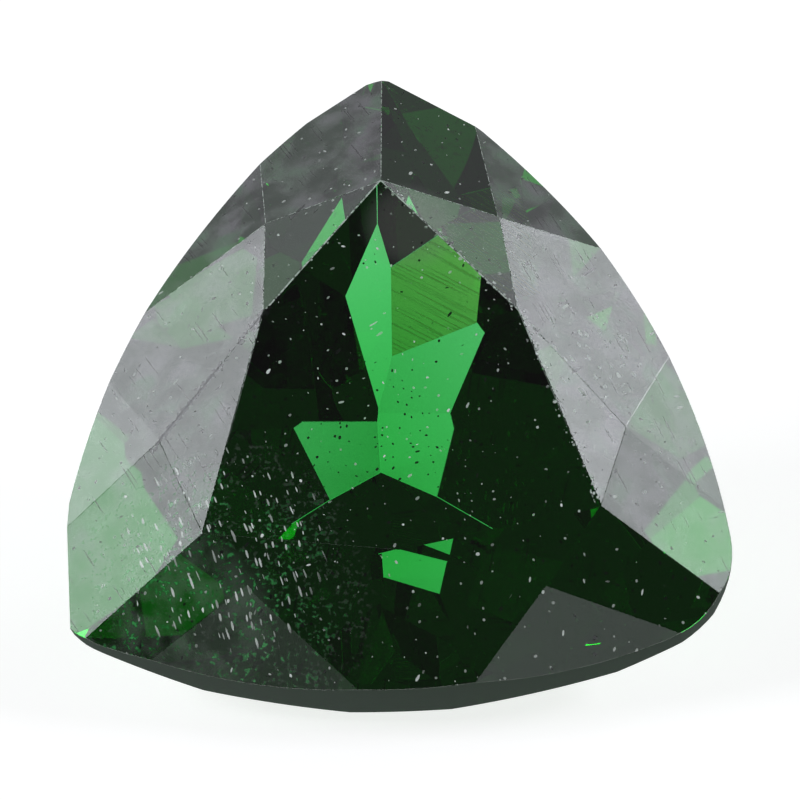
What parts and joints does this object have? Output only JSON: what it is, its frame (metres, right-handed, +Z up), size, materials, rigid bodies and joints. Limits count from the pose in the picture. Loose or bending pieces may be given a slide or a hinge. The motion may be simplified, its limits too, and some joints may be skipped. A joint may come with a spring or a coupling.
{
  "type": "faceted gemstone",
  "caption": "Loose green garnet in a rounded triangular (trillion) cut: flat table, stepped crown facets, thin girdle and a faceted underside that ends in a point.",
  "frame": {"origin": "on the ground, under the middle of the resting stone's box", "axes": "+Z up with the stone lying on the large front facet of its underside; the table leans towards -Y, and +X is the stone's longest extent"},
  "size_m": [0.006, 0.005, 0.0041],
  "materials": {
    "garnet": "polished"
  },
  "bodies": {
    "root": {"tsavorite_garnet": "garnet"}
  },
  "joints": []
}
